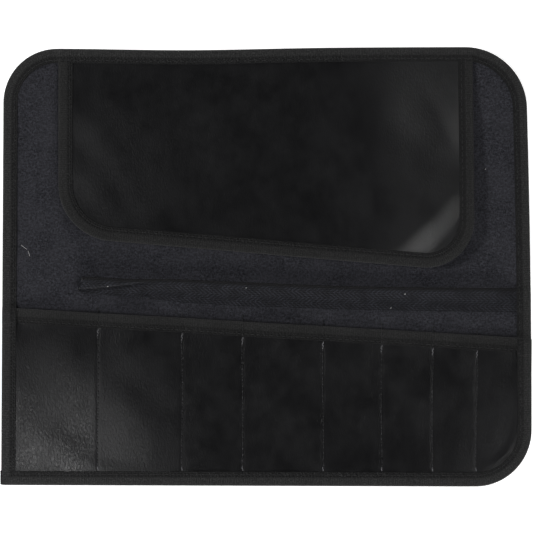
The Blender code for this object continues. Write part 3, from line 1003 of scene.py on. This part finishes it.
def tie_piece(name, first, last):
    """One length of the tie from x last down to x first."""
    xs = np.linspace(last, first, max(6, int((last - first) / 0.0012)))
    t = np.linspace(0, 1, 30)
    x = np.repeat(xs[:, None], len(t), axis=1)
    if first < -0.13:
        cut = smooth((-0.118 - x) / 0.016)
        x = x + cut * (0.0042 * (t[None, :] - 0.35) + 0.0006 * np.sin(t[None, :] * 31.0))
    share = np.repeat(t[None, :], len(xs), axis=0)
    y, z = tie_point(x, share)
    dy, dz = np.gradient(y, axis=1), np.gradient(z, axis=1)
    norm = np.hypot(dy, dz) + 1e-9
    ny, nz = -dz / norm, dy / norm
    above = np.stack([x, y + ny * TIE_HALF_THICK, z + nz * TIE_HALF_THICK], -1)
    below = np.stack([x, y - ny * TIE_HALF_THICK, z - nz * TIE_HALF_THICK], -1)[:, ::-1]
    ring = np.concatenate([above, below], axis=1)
    count = ring.shape[1]
    faces = grid_faces(len(xs), count, wrap=True, flip=True)
    faces.append(tuple(range(count))[::-1])
    faces.append(tuple(range((len(xs) - 1) * count, len(xs) * count)))
    v = np.concatenate([t, t[::-1]]) * TIE_ACROSS
    uv = np.stack(np.broadcast_arrays(xs[:, None], v[None, :]), -1).reshape(-1, 2)
    return make_object(name, ring.reshape(-1, 3), faces, uv, TWILL), (TIE_ACROSS, float(last - first))


tie_ends = [TIE_END] + MIDS[1:-1] + [(SEAMS[-1] + TIE_HINGE_X) / 2, TIE_SEWN]
for i in range(COLUMNS):
    piece, size = tie_piece(f"tie_twill_{i + 1}", tie_ends[i], tie_ends[i + 1])
    if i < COLUMNS - 1:
        start, end = seam_bend(i)
        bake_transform(piece)
        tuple(start)
        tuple(end)
    else:
        start = (TIE_HINGE_X + 0.0010, 0.0, FOLD_Z)
        end = (TIE_HINGE_X - 0.0060, 0.0, FOLD_Z)
        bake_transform(piece)
        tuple(start)
        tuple(end)
    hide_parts(f"tie_{i + 1}")


# Stitches

def row_along(line, distance):
    """Places and directions of stitches along a framed line, moved in from it by distance."""
    path, inward, s = line
    at = np.arange(STITCH_PITCH / 2, s[-1], STITCH_PITCH)
    normal = picked(at, s, inward)
    return picked(at, s, path + inward * distance), np.stack([normal[:, 1], -normal[:, 0]], -1)


def grouped(centre, direction, key):
    """Stitches of a row sorted by key, as lists of places and of directions."""
    groups = {}
    for c, d in zip(centre, direction):
        groups.setdefault(key(c), ([], []))
        groups[key(c)][0].append(c)
        groups[key(c)][1].append(d)
    return groups


tape_top = raised(stack_top, TAPE - 0.00006)
tape_under = raised(edge_low, 0.00010 - TAPE)
hem_top = raised(pocket_top, TAPE - 0.00008)
flap_tape_top = raised(flap_top, TAPE - 0.00008)

centre, direction = row_along(edge_line, STITCH_IN - TAPE_FOLD)
for i, (c, d) in sorted(grouped(centre, direction, seam_of).items()):
    row = stitches(f"edge_thread_{i + 1}", c, d, tape_top, THREAD_DARK)
    bend_at_seam(row, i, "binding_tape")
    row = stitches(f"edge_thread_back_{i + 1}", c, d, tape_under, THREAD_DARK, side=-1)
    bend_at_seam(row, i, "binding_tape")

centre, direction = row_along(mouth_line, POCKET_STITCH_IN)
for i, (c, d) in sorted(grouped(centre, direction, seam_of).items()):
    row = stitches(f"pocket_thread_{i + 1}", c, d, hem_top, THREAD_DARK)
    bend_at_seam(row, i, "binding_tape")


def divider_top(x, y):
    """Surface that a divider's thread lies on: leather, then the tape at the mouth, then the lining."""
    below = pocket_edge(x) - y
    on_tape = (below < POCKET_TAPE_WIDTH) & (below > -0.0003)
    z = pocket_top(x, y) + TAPE * on_tape
    return np.where(below > -0.0003, z, lining_top(x, y))


for i, seam in enumerate(SEAMS):
    edge = float(pocket_edge(seam))
    foot = float(layer_low(seam)) + TAPE_WIDTH - 0.001
    ys = np.arange(edge - 0.0165, foot + 0.002, -DIVIDER_PITCH)
    sway = 0.00035 * np.sin(ys * 60.0 + i)
    places = [(seam + o, y) for o, y in zip(sway, ys)]
    # Dark short threads halfway between the stitches stand for the painted shade in the needle holes.
    shade_marks = [(x, y + DIVIDER_PITCH / 2) for x, y in places]
    tack = [(seam + o, edge - 0.0112 - 0.0012 * n) for n, o in enumerate((0.0003, -0.0003, 0.0002, -0.0002))]
    tack += [(seam + 0.0002, foot + 0.0012), (seam - 0.0002, foot + 0.0024)]
    crossing = [(seam, edge + 0.0042), (seam + 0.0001, edge + 0.0018)]
    crossing += [(seam, edge - 0.0020), (seam + 0.0002, edge - 0.0050), (seam, edge - 0.0080)]
    back = [(seam, y) for y in np.arange(edge + 0.004, foot + 0.002, -STITCH_PITCH)]
    # kind, places, lean off the seam, surface, material, side, stitch length, thread radius
    rows = (
        ("thread", places, 0.02, divider_top, THREAD, 1, 0.0020, 0.00022),
        # painted shade: dark threads in the needle holes
        ("hole", shade_marks, 0.02, divider_top, THREAD_DARK, 1, 0.0015, 0.00034),
        ("tack", tack, 0.04, divider_top, THREAD_PALE, 1, 0.0020, 0.00030),
        ("end", crossing, 0.0, divider_top, THREAD_DARK, 1, 0.0024, 0.00030),
        ("thread_back", back, 0.02, cover_under, THREAD, -1, STITCH_LENGTH, STITCH_RADIUS),
    )
    for kind, centres, lean, *settings in rows:
        row = stitches(f"divider_{kind}_{i + 1}", centres, [(lean, 1.0)] * len(centres), *settings)
        bend_at_seam(row, i, "binding_tape")

centre, direction = row_along(flap_line, FLAP_STITCH_IN)
second, second_direction = row_along(flap_line, FLAP_SECOND_IN)
second_right = second[:, 0] > FLAP_SECOND_FROM
centre = np.concatenate([centre, second[second_right]])
direction = np.concatenate([direction, second_direction[second_right]])
for i, (c, d) in sorted(grouped(centre, direction, panel_of).items()):
    row = stitches(f"flap_thread_{i + 1}", c, d, flap_tape_top, THREAD_DARK)
    bend_at_root(row, i, "binding_tape")


# Lint caught in the cloth: place, direction, length and thickness of each fibre

LINT_ON_LINING = ((0.1720, -0.0196, 0.3, 0.0010, 0.00022), (-0.1735, 0.0140, 2.5, 0.0060, 0.00013),
                  (-0.1700, 0.0095, 1.9, 0.0050, 0.00013), (0.1560, 0.0700, 1.0, 0.0014, 0.00014))
LINT_ON_TIE = ((-0.1134, -0.0140, 0.4, 0.0011, 0.00030), (-0.0145, -0.0150, 0.8, 0.0009, 0.00024),
               (0.0990, -0.0195, 0.2, 0.0012, 0.00026), (0.0890, -0.0295, 1.4, 0.0009, 0.00022))


def tie_top(x, y):
    centre, wide, _ = tie_values(x)
    return tie_point(x, np.clip((y - centre) / wide + 0.5, 0.0, 1.0))[1] + 0.0004


def scatter_lint(stem, fibres, height, body):
    """Each fibre rides the body of the column that it lies in."""
    for i, (x, y, turn, length, radius) in enumerate(fibres):
        fibre = stitches(f"{stem}_{i + 1}", [(x, y)], [(math.cos(turn), math.sin(turn))], height, LINT,
                         length=length, radius=radius)
        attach(fibre, f"{body}_{int(np.searchsorted(SEAMS, x)) + 1}")


scatter_lint("lint_on_lining", LINT_ON_LINING, lining_top, "column")
scatter_lint("lint_on_tie", LINT_ON_TIE, tie_top, "tie_length")


# Floor and light

def place_light(name, data, place, target):
    aim = Vector(target) - Vector(place)
    light = add_object(name, data, place)
    light.rotation_euler = aim.to_track_quat("-Z", "Y").to_euler()


def panel_light(name, place, size, power):
    """A square soft panel that faces the middle of the case."""
    data = bpy.data.lights.new(name, "AREA")
    data.shape = "SQUARE"
    data.size = size
    data.energy = power
    place_light(name, data, place, (0.0, 0.0, 0.0))


BEAM_RADIUS = 0.05
BEAM_HEIGHT = 1.6


def beam_light(name, place, target, degrees, power):
    """A soft narrow beam that glances off one part of the leather, from place to target in plan."""
    data = bpy.data.lights.new(name, "SPOT")
    data.spot_size = math.radians(degrees)
    data.spot_blend = 1.0
    data.shadow_soft_size = BEAM_RADIUS
    data.energy = power
    place_light(name, data, (*place, BEAM_HEIGHT), (*target, 0.0))


floor_graph = Graph("pale_floor")
floor_tone = floor_graph.remap(floor_graph.noise(floor_graph.cloth(), 8.0), 0.0, 1.0, 0.88, 0.92)
floor_colour = floor_graph.node("ShaderNodeCombineColor", {0: floor_tone, 1: floor_tone, 2: floor_tone})
floor_graph.finish(floor_colour, 0.8, floor_tone, 0.0, 0.0001, Specular_IOR_Level=0.1,
                   Emission_Color=(1.0, 1.0, 1.0, 1.0), Emission_Strength=0.75)
FLOOR_HALF = 2.5
FLOOR_Z = -0.0002
floor_corners = [(x * FLOOR_HALF, y * FLOOR_HALF, FLOOR_Z) for x, y in ((-1, -1), (1, -1), (1, 1), (-1, 1))]
floor = make_object("floor", floor_corners, [(0, 1, 2, 3)], [(0, 0), (1, 0), (1, 1), (0, 1)],
                    floor_graph.material)

panel_light("key_panel", (-2.35, 0.25, 1.25), 0.50, 56.0)
panel_light("right_panel", (2.0, -0.1, 1.2), 0.9, 14.0)
panel_light("front_panel", (0.1, -1.7, 0.48), 0.4, 24.0)
panel_light("back_panel", (0.2, 1.6, 0.40), 0.4, 9.0)
beam_light("low_left_beam", (-0.40, -0.40), (-0.156, -0.148), 5.8, 18.0)
beam_light("flap_corner_beam", (0.565, -0.278), (0.119, 0.018), 4.0, 18.0)
beam_light("flap_left_beam", (-0.42, -0.04), (-0.124, 0.064), 3.4, 3.6)
beam_light("flap_top_beam", (0.663, 0.446), (0.127, 0.115), 2.4, 24.0)
beam_light("pocket_corner_beam", (0.752, -0.681), (0.170, -0.138), 2.1, 30.0)

world = bpy.data.worlds.new("studio")
world.use_nodes = True
background = world.node_tree.nodes["Background"].inputs
background["Color"].default_value = (1.0, 1.0, 1.0, 1.0)
background["Strength"].default_value = 0.02
bpy.context.scene.world = world
